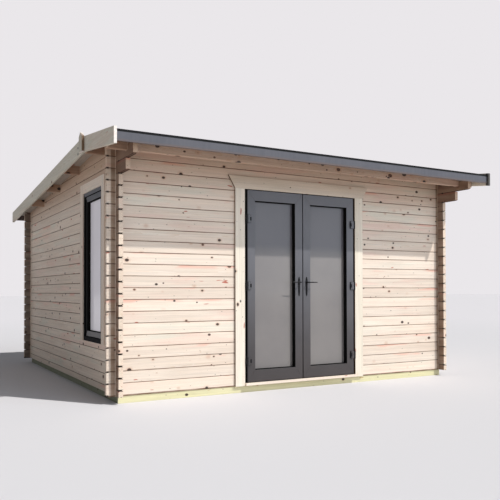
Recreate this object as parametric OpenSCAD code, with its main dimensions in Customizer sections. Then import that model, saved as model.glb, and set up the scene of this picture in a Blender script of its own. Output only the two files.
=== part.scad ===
// Timber log cabin with an off-centre ridge, a deep front overhang, double glazed doors and a tall
// side window. Units are millimetres. +Z is up and the front faces -Y.
// Sizes along Y are first measured back from the outer face of the front wall, and place() then
// centres the roof over the origin. The underside of the bearers is Z = 0.

/* [Walls] */
// Outside width over the two side walls
wall_w = 4266; // [3400:2:5600]
// Outside depth over the front and back walls
wall_d = 4200; // [3200:10:5600]
// Thickness of a log
log_t = 44; // [34:1:60]
// Height that each course of logs adds
course_h = 114; // [95:1:140]
// Height of the first course of the front and back walls
first_course_h = 124; // [100:1:150]
// How far the log ends run past the walls they cross
log_end = 90; // [60:1:160]
// Chamfer along the long edges of a log
log_chamfer = 5; // [2:0.5:8]
// Width of the tongue along the top of a log
tongue_w = 16; // [10:1:20]
// Height of that tongue
tongue_h = 8; // [4:1:12]
// How much further each of the two corbel logs reaches than the one below it
corbel_step = 203; // [120:1:260]
// How far the edges of a log slope back from its free ends
end_slope_l = 32; // [10:1:50]
// How much that slope takes off the upper and the lower edge at the end
end_slope_h = 7; // [2:0.5:12]

/* [Base] */
// Height of the bearers and joists
bearer_h = 70; // [45:1:120]
// Width of the bearers and joists
bearer_w = 45; // [35:1:75]
// How far the front and back bearers sit behind the faces of their walls
bearer_inset = 10; // [0:1:20]
// How far the side bearers sit inside the faces of their walls
side_bearer_inset = 25; // [0:1:30]
// Number of joists between the side bearers
joist_count = 7; // [3:1:11]
// Thickness of the floor
floor_t = 19; // [16:1:28]
// Expansion gap between the floor and the walls
floor_margin = 5; // [2:1:12]

/* [Roof] */
// Overhang of the roof in front of the front wall
front_over = 610; // [540:10:800]
// Overhang of the roof behind the back wall
rear_over = 300; // [160:10:500]
// Overhang of the roof boards past each side wall
side_over = 184; // [120:1:260]
// Distance of the ridge behind the front wall's outer face
ridge_y = 390; // [250:10:900]
// Height of the underside of the roof at its front edge
front_edge_z = 2445; // [2300:5:2600]
// Height of the underside of the roof at the ridge
ridge_z = 2560; // [2480:5:2800]
// Height of the underside of the roof at its rear edge
rear_edge_z = 2243; // [2150:5:2450]
// Thickness of the roof boards
roof_board_t = 19; // [15:1:28]
// Thickness of the roof covering
covering_t = 3; // [2:0.5:6]
// Thickness of the bargeboards
barge_t = 28; // [18:1:40]
// Height of the bargeboards, measured upright
barge_h = 150; // [110:1:200]
// How far the bargeboards' top edge stands above the underside of the roof
barge_up = 50; // [30:1:90]
// Width of the battens that cover the bargeboard joint at the ridge
apex_w = 110; // [60:1:160]
// How far the point of those battens stands above the bargeboards
apex_rise = 40; // [10:1:60]
// How far the shoulders of those battens stay below the bargeboards' top edge
apex_shoulder = 3; // [0:1:10]
// How far those battens reach below the bargeboards
apex_below = 5; // [0:1:20]
// Thickness of the fascia boards
fascia_t = 20; // [15:1:30]
// Height of the fascia boards
fascia_h = 100; // [80:1:150]
// How far the fascia boards sit inside the ends of the bargeboards
fascia_inset = 22; // [5:1:40]
// How far the fascia boards' top edge stays below that of the bargeboards
fascia_drop = 20; // [5:1:40]
// Thickness of the metal edge trims
trim_metal_t = 3; // [1:0.5:5]
// Depth of the edge trims' front leg
trim_metal_h = 14; // [8:1:30]
// Length of the edge trims' top leg
trim_metal_d = 45; // [25:1:80]
// Width of the purlins
purlin_w = 60; // [44:1:90]
// Middle of the front purlin, in front of the front wall
front_purlin_y = 320; // [200:1:400]
// Height of the front purlin
front_purlin_h = 120; // [90:1:150]
// Height of the ridge purlin
ridge_purlin_h = 114; // [90:1:150]
// Height of the purlins behind the ridge
rear_purlin_h = 90; // [60:1:130]
// Number of purlins between the ridge and the back wall
rear_purlin_count = 3; // [2:1:4]

/* [Doors] */
// Width of one door leaf
leaf_w = 704; // [600:1:900]
// Height of the door leaves
leaf_h = 2040; // [1800:1:2050]
// Thickness of the door leaves
leaf_t = 70; // [60:1:80]
// Height of the leaves' lower edge above the ground
leaf_z = 108; // [100:1:140]
// How far the leaves' outer faces stand in front of the front wall
leaf_proud = 20; // [10:1:24]
// Gap between the two closed leaves
meeting_gap = 10; // [10:1:14]
// Clearance between the leaves and their frame
leaf_gap = 6; // [5:1:10]
// Width of the leaves' stiles
stile_w = 97; // [80:1:130]
// Height of the leaves' top rail
top_rail_h = 112; // [90:1:160]
// Height of the leaves' bottom rail
bottom_rail_h = 125; // [100:1:260]
// Thickness of the double glazing
glass_t = 8; // [6:1:28]
// How far the glass lies inside the leaves' back faces
glass_inset = 10; // [2:1:20]
// Width of the door frame's jambs
jamb_w = 30; // [24:1:60]
// Height of the door frame's head
head_w = 26; // [20:1:60]
// How far the frames' stops reach over the backs of the leaves and the sash
stop_w = 15; // [8:1:25]
// Thickness of the door frame's stop
stop_t = 14; // [8:1:30]
// Width of the posts of the door trim
trim_w = 115; // [70:1:160]
// Height of the head board of the door trim
trim_head_h = 133; // [80:1:180]
// How much further the head board's upper edge reaches on each side
trim_flare = 80; // [0:1:120]
// Thickness of the door and window trim boards
trim_t = 20; // [12:1:24]
// Visible width of the dark frame between the trim and the leaves
shadow_gap = 26; // [22:1:30]
// How far the door sill stands in front of the front wall
sill_out = 45; // [25:1:80]
// Height of the door sill board
sill_h = 26; // [18:1:30]
// Clearance of the leaves above the door sill
sill_gap = 8; // [6:1:15]
// Clearance of the leaves below the head board of the door trim
head_gap = 9; // [6:1:15]

/* [Door furniture] */
// Length of a hinge barrel
hinge_h = 90; // [60:1:120]
// Diameter of a hinge barrel
barrel_d = 16; // [12:1:18]
// Diameter of a hinge pin
pin_d = 8; // [6:1:10]
// Width of a hinge flag on the leaf
flag_w = 58; // [40:1:80]
// Thickness of a hinge flag
flag_t = 4; // [3:1:6]
// Gap between a hinge barrel and the plane of the leaf's outer face
hinge_off = 1; // [0.5:0.5:2]
// How far the hinge pins and feet stop short of the barrels' ends
hinge_end = 5; // [3:1:10]
// Heights of the hinges' middles above the ground
hinge_z = [330, 1130, 1840]; // [200:10:2000]
// Width of a handle plate
plate_w = 28; // [22:1:40]
// Height of a handle plate
plate_h = 212; // [160:1:260]
// Thickness of a handle plate
plate_t = 8; // [5:1:12]
// Distance of the lever spindle from the leaf's free edge
backset = 45; // [35:1:60]
// Height of the lever spindle above the ground
lever_z = 1168; // [950:1:1250]
// Height of the handle plates' upper ends above the spindle
plate_above = 60; // [30:1:90]
// Length of a lever from its spindle
lever_l = 118; // [90:1:140]
// Thickness of a lever
lever_t = 14; // [10:1:20]
// Height of a lever
lever_h = 18; // [12:1:26]
// Distance of the middle of a lever from the face of its leaf
lever_out = 50; // [35:1:65]
// Diameter of the lever spindle
spindle_d = 12; // [8:1:16]
// Clearance round the lever spindles and the hinge pins
turning_play = 0.2; // [0.1:0.05:0.5]

/* [Window] */
// Distance of the window opening behind the front wall's outer face
window_y = 410; // [380:5:900]
// Width of the window opening
window_w = 720; // [500:5:1200]
// Height of the window opening's lower edge above the ground
window_z = 535; // [400:5:1000]
// Height of the window opening
window_h = 1620; // [900:5:1640]
// Width of the window frame
window_frame_w = 48; // [35:1:70]
// Width of the window sash
sash_w = 58; // [40:1:80]
// Gap between the window frame and its sash
sash_gap = 4; // [2:1:6]
// How far the sash lies behind the face of the window frame
sash_recess = 12; // [4:1:20]
// Depth of the window frame
window_frame_d = 70; // [55:1:90]
// How far the window frame stands out of the wall
window_proud = 6; // [0:1:15]
// Width of the window trim boards
window_trim_w = 100; // [60:1:110]
// How far the window trim covers the frame
trim_cover = 8; // [4:1:20]

/* [Hidden] */

wood = "#E8D4BC";
wood_dark = "#C9AE92";
treated_wood = "#C9C58F";
anthracite = "#5B5C62";
dark_metal = "#26262A";
pane = "#A9A4A2";

fit = 0.3;           // hairline gap between pieces that bear on each other
cut = 1;             // how far a cutting shape runs past what it cuts
far = 600;           // reach of the block that trims walls above the roof
min_strip = 30;      // a remainder lower than this becomes part of the log below it
front = 0;
side = 1;

half_w = wall_w / 2;
rear_y = wall_d + rear_over;
mid_y = (rear_y - front_over) / 2;
half_roof = half_w + side_over;

// Height of the roof's underside at a distance behind the front wall's outer face.
function roof_z(y) = y < ridge_y
    ? ridge_z - (ridge_z - front_edge_z) * (ridge_y - y) / (ridge_y + front_over)
    : ridge_z - (ridge_z - rear_edge_z) * (y - ridge_y) / (rear_y - ridge_y);

// Height of the upper joint of a course. The side walls lie half a course lower.
function joint_z(wall, k) = bearer_h + first_course_h - wall * course_h / 2 + (k - 1) * course_h;
function course_z(wall, k) = k == 1 ? bearer_h : joint_z(wall, k - 1);
// Number of courses under a height, where a low remainder isn't a course.
function courses_under(wall, z) = floor((z - min_strip - joint_z(wall, 1)) / course_h) + 2;
// Number of courses that end below a height.
function full_courses(wall, z) = floor((z - joint_z(wall, 1)) / course_h) + 1;
function runs_through(z, k) = z - course_z(front, k) > course_h / 2;

front_z = roof_z(0);
back_z = roof_z(wall_d);
front_last = courses_under(front, front_z);
front_through = runs_through(front_z, front_last) ? front_last : front_last - 1;
back_last = courses_under(front, back_z);
back_through = runs_through(back_z, back_last) ? back_last : back_last - 1;
corbel_top = full_courses(side, roof_z(-log_end - 2 * corbel_step));
side_last = courses_under(side, ridge_z);
side_rear_last = courses_under(side, back_z);
wall_last = corbel_top - 2;

window_top = window_z + window_h;
window_under = full_courses(side, window_z);
window_beside = full_courses(side, window_top);

leaf_edge = meeting_gap / 2 + leaf_w;
leaf_top = leaf_z + leaf_h;
leaf_back = leaf_t - leaf_proud;
frame_edge = leaf_edge + leaf_gap;
frame_top = leaf_top + leaf_gap;
frame_d = leaf_back + leaf_gap + stop_t;
glass_y = leaf_back - glass_inset - glass_t;
door_side = frame_edge + jamb_w;
door_top = frame_top + head_w;
door_beside = full_courses(front, door_top);
trim_edge = leaf_edge + shadow_gap;
trim_top = leaf_top + head_gap;
sill_z = leaf_z - sill_gap;
hinge_x = leaf_edge + shadow_gap / 2;
hinge_y = -leaf_proud - barrel_d / 2 - hinge_off;
spindle_x = meeting_gap / 2 + backset;
purlin_gap = (wall_d - log_t / 2 - ridge_y) / (rear_purlin_count + 1);

// Each purlin is [middle, height].
front_purlin_at = [-front_purlin_y, front_purlin_h];
ridge_purlin_at = [ridge_y, ridge_purlin_h];
rear_purlins_at = [for (i = [1:rear_purlin_count]) [ridge_y + i * purlin_gap, rear_purlin_h]];

module place() translate([0, -mid_y, 0]) children();

// An outline drawn as [y, z] points, run across the building from x0 to x1.
module across(x0, x1) translate([x0, 0, 0]) rotate([90, 0, 90]) linear_extrude(x1 - x0) children();

// An outline drawn as [x, z] points, run back from y0 to y1.
module back_from(y0, y1) translate([0, y1, 0]) rotate([90, 0, 0]) linear_extrude(y1 - y0) children();

module box(x0, x1, y0, y1, z0, z1) translate([x0, y0, z0]) cube([x1 - x0, y1 - y0, z1 - z0]);

module both_sides() {
    children();
    mirror([1, 0, 0]) children();
}

// Everything above a surface that lies "lift" above the underside of the roof.
module above_roof(lift) {
    across(-half_roof - far, half_roof + far) polygon([
        [-far - front_over, roof_z(-far - front_over) + lift], [ridge_y, ridge_z + lift],
        [rear_y + far, roof_z(rear_y + far) + lift], [rear_y + far, ridge_z + far],
        [-far - front_over, ridge_z + far]]);
}

// ---- Logs. A wall is drawn along X with its outer face at Y = 0 and turned to its place. ----

module on_front() children();
module on_back() translate([0, wall_d, 0]) mirror([0, 1, 0]) children();
module on_left() translate([-half_w, 0, 0]) mirror([1, -1, 0]) children();
module on_right() mirror([1, 0, 0]) on_left() children();

// Section of a log between two heights, with a groove below and a tongue above.
module log_section(z0, z1) {
    mid = log_t / 2;
    tongue = tongue_w / 2;
    groove = tongue + fit;
    top = z1 - fit;
    polygon([[log_chamfer, z0], [mid - groove, z0], [mid - groove, z0 + tongue_h],
        [mid + groove, z0 + tongue_h], [mid + groove, z0], [log_t - log_chamfer, z0],
        [log_t, z0 + log_chamfer], [log_t, top - log_chamfer], [log_t - log_chamfer, top],
        [mid + tongue, top], [mid + tongue, top + tongue_h - fit],
        [mid - tongue, top + tongue_h - fit], [mid - tongue, top],
        [log_chamfer, top], [0, top - log_chamfer], [0, z0 + log_chamfer]]);
}

// Notches of a course where a crossing wall passes at s. A log keeps the middle half of a course
// there. The upper notch is only cut where the crossing wall has a log above it.
module crossing(wall, k, s, cross_top) {
    low = joint_z(wall, k) - course_h * 3 / 4;
    high = joint_z(wall, k) - course_h / 4;
    if (low > course_z(wall, k))
        box(s - fit, s + log_t + fit, -cut, log_t + cut, course_z(wall, k) - cut, low + fit / 2);
    if (joint_z(wall, k) + course_h / 2 < cross_top + cut)
        box(s - fit, s + log_t + fit, -cut, log_t + cut, high - fit / 2, joint_z(wall, k) + far);
}

// The slopes at a log's free end at s, from which "inwards" is 1 or -1. The tongue stops there too,
// so that each joint opens into a V between two log ends.
module end_slopes(wall, k, s, inwards) {
    low = course_z(wall, k);
    high = joint_z(wall, k);
    s0 = s - inwards * cut;
    s1 = s + inwards * end_slope_l;
    back_from(-cut, log_t + cut) polygon([[s0, high - end_slope_h], [s1, high - fit],
        [s1, high + tongue_h + cut], [s0, high + tongue_h + cut]]);
    if (k > 1)
        back_from(-cut, log_t + cut) polygon([[s0, low - cut], [s1, low - cut], [s1, low],
            [s0, low + end_slope_h]]);
}

// One log of a wall along X. The last course runs up to the roof, which trims it.
module course(wall, k, last, s0, s1) {
    top = k == last ? ridge_z + course_h : joint_z(wall, k);
    across(s0, s1) log_section(course_z(wall, k), top);
}

// Courses k0 to k1 of the front or back wall between s0 and s1.
module front_logs(k0, k1, s0, s1) {
    cross_top = joint_z(side, side_last);
    for (k = [k0:k1]) difference() {
        course(front, k, front_last, s0, s1);
        crossing(front, k, -half_w, cross_top);
        crossing(front, k, half_w - log_t, cross_top);
        end_slopes(front, k, -half_w - log_end, 1);
        end_slopes(front, k, half_w + log_end, -1);
    }
}

module back_logs() {
    cross_top = joint_z(side, side_rear_last);
    for (k = [1:back_through]) difference() {
        course(front, k, back_last, -half_w - log_end, half_w + log_end);
        crossing(front, k, -half_w, cross_top);
        crossing(front, k, half_w - log_t, cross_top);
        end_slopes(front, k, -half_w - log_end, 1);
        end_slopes(front, k, half_w + log_end, -1);
    }
}

// Courses k0 to k1 of a side wall between s0 and s1, measured back from the front wall's face.
module side_logs(k0, k1, s0, s1) {
    for (k = [k0:k1]) difference() {
        course(side, k, side_last, s0, s1);
        crossing(side, k, 0, joint_z(front, front_through));
        crossing(side, k, wall_d - log_t, joint_z(front, back_through));
        if (k <= corbel_top && s0 <= side_s0) end_slopes(side, k, s0, 1);
        if (k <= side_rear_last && s1 >= side_s1) end_slopes(side, k, s1, -1);
    }
}

side_s0 = -log_end;
side_s1 = wall_d + log_end;

module door_hole() box(-door_side, door_side, -cut, log_t + cut, 0, door_top);
module window_hole() {
    box(-half_w - cut, -half_w + log_t + cut, window_y, window_y + window_w, window_z, window_top);
}

module front_wall_left() {
    color(wood) front_logs(1, door_beside, -half_w - log_end, -door_side);
}

module front_wall_right() {
    color(wood) front_logs(1, door_beside, door_side, half_w + log_end);
}

// The logs over the doorway. A low top strip lies between the side walls.
module front_wall_head() {
    color(wood) difference() {
        union() {
            front_logs(door_beside + 1, front_through, -half_w - log_end, half_w + log_end);
            if (front_through < front_last)
                course(front, front_last, front_last, -half_w + log_t + fit, half_w - log_t - fit);
        }
        door_hole();
        above_roof(-fit);
    }
}

module back_wall() {
    color(wood) difference() {
        on_back() {
            back_logs();
            if (back_through < back_last)
                course(front, back_last, back_last, -half_w + log_t + fit, half_w - log_t - fit);
        }
        above_roof(-fit);
    }
}

module right_wall() color(wood) on_right() side_logs(1, wall_last, side_s0, side_s1);

module left_wall_sill() {
    color(wood) difference() {
        on_left() side_logs(1, window_under + 1, side_s0, side_s1);
        window_hole();
    }
}

module left_wall_front() {
    color(wood) on_left() side_logs(window_under + 2, window_beside, side_s0, window_y);
}

module left_wall_rear() {
    color(wood) on_left() side_logs(window_under + 2, window_beside, window_y + window_w, side_s1);
}

module left_wall_head() {
    color(wood) difference() {
        on_left() side_logs(window_beside + 1, wall_last, side_s0, side_s1);
        window_hole();
    }
}

// The corbel logs and the logs above them, trimmed to the roof and notched for the purlins.
module gable_logs() {
    difference() {
        on_left() {
            side_logs(corbel_top - 1, corbel_top - 1, side_s0 - corbel_step, side_s1);
            side_logs(corbel_top, corbel_top, side_s0 - 2 * corbel_step, side_s1);
            side_logs(corbel_top + 1, side_last, -front_purlin_y + purlin_w / 2 + fit, side_s1);
        }
        above_roof(-fit);
        purlin(front_purlin_at, fit);
        purlin(ridge_purlin_at, fit);
        for (p = rear_purlins_at) purlin(p, fit);
    }
}

module left_gable_logs() color(wood) gable_logs();
module right_gable_logs() color(wood) mirror([1, 0, 0]) gable_logs();

// ---- Base ----

module base_bearers() {
    out = half_w - side_bearer_inset;
    back = wall_d - bearer_inset;
    color(treated_wood) {
        box(-out, out, bearer_inset, bearer_inset + bearer_w, 0, bearer_h - fit);
        box(-out, out, back - bearer_w, back, 0, bearer_h - fit);
        both_sides() box(out - bearer_w, out, bearer_inset + bearer_w + fit,
            back - bearer_w - fit, 0, bearer_h - fit);
    }
}

module floor_joists() {
    inner = half_w - side_bearer_inset - bearer_w;
    pitch = 2 * inner / (joist_count + 1);
    color(treated_wood) for (i = [1:joist_count])
        box(-inner + i * pitch - bearer_w / 2, -inner + i * pitch + bearer_w / 2,
            bearer_inset + bearer_w + fit, wall_d - bearer_inset - bearer_w - fit, 0, bearer_h - fit);
}

module floor_boards() {
    m = floor_margin;
    x = half_w - log_t - m;
    door_x = door_side + m;
    color(wood_dark) difference() {
        box(-x, x, log_t + m, wall_d - log_t - m, bearer_h, bearer_h + floor_t);
        box(-door_x, door_x, 0, frame_d + m, 0, bearer_h + floor_t + cut);
    }
}

// ---- Roof ----

// A purlin, whose top follows the roof. The seats in the gable logs use it with a gap all round.
module purlin(at, grow) {
    y0 = at[0] - purlin_w / 2 - grow;
    y1 = at[0] + purlin_w / 2 + grow;
    z0 = roof_z(at[0]) - at[1] - grow;
    lift = grow > 0 ? far : -fit;
    x = half_roof - fit + grow;
    ridge = y0 < ridge_y && y1 > ridge_y ? [[ridge_y, ridge_z + lift]] : [];
    across(-x, x) polygon(concat([[y0, z0], [y1, z0], [y1, roof_z(y1) + lift]], ridge,
        [[y0, roof_z(y0) + lift]]));
}

module front_purlin() color(wood) purlin(front_purlin_at, 0);
module ridge_purlin() color(wood) purlin(ridge_purlin_at, 0);
module rear_purlins() color(wood) for (p = rear_purlins_at) purlin(p, 0);

roof_y0 = -front_over + fascia_inset + fascia_t + fit;
roof_y1 = rear_y - fascia_inset - fascia_t - fit;

// A layer of one slope between two heights above the underside of the roof.
module slope_layer(y0, y1, z0, z1) {
    across(-half_roof + fit, half_roof - fit) polygon([[y0, roof_z(y0) + z0],
        [y1, roof_z(y1) + z0], [y1, roof_z(y1) + z1], [y0, roof_z(y0) + z1]]);
}

module roof_boards_front() color(wood_dark) slope_layer(roof_y0, ridge_y - fit / 2, 0, roof_board_t);
module roof_boards_rear() color(wood_dark) slope_layer(ridge_y + fit / 2, roof_y1, 0, roof_board_t);

covering_z0 = roof_board_t + fit;
covering_z1 = covering_z0 + covering_t;

module roof_covering() {
    color(dark_metal) {
        slope_layer(roof_y0, ridge_y, covering_z0, covering_z1);
        slope_layer(ridge_y, roof_y1, covering_z0, covering_z1);
    }
}

fascia_y0 = -front_over + fascia_inset;
fascia_y1 = rear_y - fascia_inset;
front_fascia_top = roof_z(-front_over) + barge_up - fascia_drop;
rear_fascia_top = roof_z(rear_y) + barge_up - fascia_drop;

module fascia(y0, top) box(-half_roof + fit, half_roof - fit, y0, y0 + fascia_t, top - fascia_h, top);
module front_fascia() color(anthracite) fascia(fascia_y0, front_fascia_top);
module rear_fascia() color(anthracite) fascia(fascia_y1 - fascia_t, rear_fascia_top);

// An angle over the fascia, with its top leg just above the fascia and the covering.
module edge_trim(y, top, turn) {
    x = half_roof - 2 * fit;
    z = top + fit;
    across(-x, x) polygon([for (p = [[-trim_metal_t - fit, -trim_metal_h],
        [-fit, -trim_metal_h], [-fit, 0], [trim_metal_d, 0], [trim_metal_d, trim_metal_t],
        [-trim_metal_t - fit, trim_metal_t]]) [y + turn * p[0], z + p[1]]]);
}

module roof_edge_trims() {
    color(dark_metal) {
        edge_trim(fascia_y0, max(front_fascia_top, roof_z(fascia_y0 + trim_metal_d) + covering_z1), 1);
        edge_trim(fascia_y1, max(rear_fascia_top, roof_z(fascia_y1 - trim_metal_d) + covering_z1), -1);
    }
}

// A bargeboard between two distances, with upright ends.
module barge(y0, y1) {
    up = barge_up;
    across(half_roof, half_roof + barge_t) polygon([[y0, roof_z(y0) + up - barge_h],
        [y1, roof_z(y1) + up - barge_h], [y1, roof_z(y1) + up], [y0, roof_z(y0) + up]]);
}

module right_bargeboards() {
    color(wood) {
        barge(-front_over, ridge_y - fit / 2);
        barge(ridge_y + fit / 2, rear_y);
    }
}

module left_bargeboards() mirror([1, 0, 0]) right_bargeboards();

module apex_covers() {
    y0 = ridge_y - apex_w / 2;
    y1 = ridge_y + apex_w / 2;
    top = ridge_z + barge_up;
    x = half_roof + barge_t + fit;
    color(wood) both_sides() across(x, x + barge_t) polygon([
        [y0, top - barge_h - apex_below], [y1, top - barge_h - apex_below],
        [y1, top - apex_shoulder], [ridge_y, top + apex_rise], [y0, top - apex_shoulder]]);
}

// ---- Door set ----

module door_frame() {
    out = door_side - fit;
    top = door_top - fit;
    color(anthracite) difference() {
        box(-out, out, 0, frame_d, bearer_h, top);
        box(-frame_edge, frame_edge, -cut, frame_d - stop_t, leaf_z - leaf_gap, frame_top);
        box(-leaf_edge + stop_w, leaf_edge - stop_w, 0, frame_d + cut,
            leaf_z + stop_w / 2, leaf_top - stop_w);
    }
}

module door_sill() {
    color(wood) box(-trim_edge + fit, trim_edge - fit, -sill_out, -fit, sill_z - sill_h, sill_z);
}

module door_trim() {
    out = trim_edge + trim_w;
    color(wood) {
        both_sides() box(trim_edge, out, -trim_t - fit, -fit, bearer_h, trim_top - fit);
        back_from(-trim_t - fit, -fit) polygon([[-out, trim_top], [out, trim_top],
            [out + trim_flare, trim_top + trim_head_h], [-out - trim_flare, trim_top + trim_head_h]]);
    }
}

// The right-hand leaf, shut, with its stiles, rails and glazing beads in one piece.
module leaf() {
    x0 = meeting_gap / 2;
    z0 = leaf_z + bottom_rail_h;
    z1 = leaf_top - top_rail_h;
    difference() {
        box(x0, leaf_edge, -leaf_proud, leaf_back, leaf_z, leaf_top);
        box(x0 + stile_w, leaf_edge - stile_w, -leaf_proud - cut, leaf_back + cut, z0, z1);
        translate([spindle_x, 0, lever_z]) rotate([90, 0, 0])
            cylinder(d = spindle_d + 2 * turning_play, h = 3 * leaf_t, center = true, $fn = 48);
    }
}

module leaf_glass() {
    x0 = meeting_gap / 2 + stile_w + fit;
    x1 = leaf_edge - stile_w - fit;
    box(x0, x1, glass_y, glass_y + glass_t, leaf_z + bottom_rail_h + fit, leaf_top - top_rail_h - fit);
}

// A sleeve along a hinge's upright axis.
module sleeve(z0, z1, d, hole) {
    translate([hinge_x, hinge_y, z0]) difference() {
        cylinder(d = d, h = z1 - z0, $fn = 48);
        if (hole > 0) translate([0, 0, -cut]) cylinder(d = hole, h = z1 - z0 + 2 * cut, $fn = 48);
    }
}

// The leaf's half of the hinges: a flag on its face and the upper half of each barrel.
module leaf_hinges() {
    y1 = -leaf_proud - fit;
    for (z = hinge_z) difference() {
        union() {
            sleeve(z, z + hinge_h / 2, barrel_d, 0);
            box(hinge_x - flag_w, hinge_x, y1 - flag_t, y1, z, z + hinge_h / 2);
        }
        sleeve(z - cut, z + hinge_h / 2 + cut, pin_d + 2 * turning_play, 0);
    }
}

// The frame's half of the hinges: the lower half of each barrel with its pin and its foot.
module jamb_hinges() {
    for (z = hinge_z) {
        sleeve(z - hinge_h / 2, z - turning_play, barrel_d, 0);
        sleeve(z - hinge_h / 2, z + hinge_h / 2 - hinge_end, pin_d, 0);
        box(hinge_x - flag_t / 2, hinge_x + flag_t / 2, hinge_y, -fit, z - hinge_h / 2,
            z - hinge_end);
    }
}

// Handle plates on both faces of the leaf.
module handle_plates() {
    x = spindle_x;
    z1 = lever_z + plate_above;
    difference() {
        union() {
            box(x - plate_w / 2, x + plate_w / 2, -leaf_proud - fit - plate_t, -leaf_proud - fit,
                z1 - plate_h, z1);
            box(x - plate_w / 2, x + plate_w / 2, leaf_back + fit, leaf_back + fit + plate_t,
                z1 - plate_h, z1);
        }
        translate([x, 0, lever_z]) rotate([90, 0, 0])
            cylinder(d = spindle_d + 2 * turning_play, h = 4 * leaf_t, center = true, $fn = 48);
    }
}

// The spindle with a lever on each face of the leaf, pointing towards the hinges.
module lever_pair() {
    y0 = -leaf_proud - lever_out;
    y1 = leaf_back + lever_out;
    translate([spindle_x, y1, lever_z]) rotate([90, 0, 0]) cylinder(d = spindle_d, h = y1 - y0, $fn = 48);
    for (y = [y0, y1])
        box(spindle_x - lever_h / 2, spindle_x + lever_l, y - lever_t / 2, y + lever_t / 2,
            lever_z - lever_h / 2, lever_z + lever_h / 2);
}

module door_hinge_pins() color(dark_metal) both_sides() jamb_hinges();
module right_door_leaf() color(anthracite) leaf();
module left_door_leaf() mirror([1, 0, 0]) right_door_leaf();
module right_door_glass() color(pane) leaf_glass();
module left_door_glass() mirror([1, 0, 0]) right_door_glass();
module right_door_hinges() color(dark_metal) leaf_hinges();
module left_door_hinges() mirror([1, 0, 0]) right_door_hinges();
module right_handle_plates() color(dark_metal) handle_plates();
module left_handle_plates() mirror([1, 0, 0]) right_handle_plates();
module right_lever() color(dark_metal) lever_pair();
module left_lever() mirror([1, 0, 0]) right_lever();

// ---- Window. Drawn along X with its outer face towards -Y, like the left wall. ----

// A rectangular ring in the window opening, "inset" in from its edge and "w" wide.
module window_ring(inset, w, y0, y1) {
    x0 = window_y + inset;
    x1 = window_y + window_w - inset;
    z0 = window_z + inset;
    z1 = window_top - inset;
    difference() {
        box(x0, x1, y0, y1, z0, z1);
        box(x0 + w, x1 - w, y0 - cut, y1 + cut, z0 + w, z1 - w);
    }
}

sash_edge = window_frame_w + sash_gap;
sash_y0 = -window_proud + sash_recess;
window_y1 = window_frame_d - window_proud;

// The frame has a stop behind the sash.
module window_frame() {
    color(anthracite) on_left() {
        window_ring(fit, window_frame_w - fit, -window_proud, window_y1 - stop_w);
        window_ring(fit, sash_edge + stop_w, window_y1 - stop_w, window_y1);
    }
}

module window_sash() {
    color(anthracite) on_left() window_ring(sash_edge, sash_w, sash_y0, window_y1 - stop_w - fit);
}

module window_glass() {
    inset = sash_edge + sash_w + fit;
    y1 = window_y1 - stop_w - fit;
    color(pane) on_left() box(window_y + inset, window_y + window_w - inset, y1 - glass_t, y1,
        window_z + inset, window_top - inset);
}

// Boards beside and over the window. The side boards end level with the frame's lower edge.
module window_trim() {
    y0 = window_y + trim_cover;
    y1 = window_y + window_w - trim_cover;
    z1 = window_top - trim_cover;
    b = window_trim_w;
    face = -window_proud - fit;
    color(wood) on_left() difference() {
        union() {
            box(y0 - b, y0, -trim_t - fit, -fit, window_z, z1 + b);
            box(y1, y1 + b, -trim_t - fit, -fit, window_z, z1 + b);
            box(y0 + fit, y1 - fit, -trim_t - fit, -fit, z1, z1 + b);
        }
        box(window_y, window_y + window_w, face, cut, window_z, window_top);
    }
}

place() base_bearers();
place() floor_joists();
place() floor_boards();
place() front_wall_left();
place() front_wall_right();
place() front_wall_head();
place() back_wall();
place() right_wall();
place() left_wall_sill();
place() left_wall_front();
place() left_wall_rear();
place() left_wall_head();
place() left_gable_logs();
place() right_gable_logs();
place() front_purlin();
place() ridge_purlin();
place() rear_purlins();
place() roof_boards_front();
place() roof_boards_rear();
place() roof_covering();
place() roof_edge_trims();
place() front_fascia();
place() rear_fascia();
place() left_bargeboards();
place() right_bargeboards();
place() apex_covers();
place() door_frame();
place() door_trim();
place() door_sill();
place() door_hinge_pins();
place() left_door_leaf();
place() right_door_leaf();
place() left_door_glass();
place() right_door_glass();
place() left_door_hinges();
place() right_door_hinges();
place() left_handle_plates();
place() right_handle_plates();
place() left_lever();
place() right_lever();
place() window_frame();
place() window_sash();
place() window_glass();
place() window_trim();
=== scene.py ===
import math

import bmesh
import bpy
from mathutils import Matrix, Vector


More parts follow.
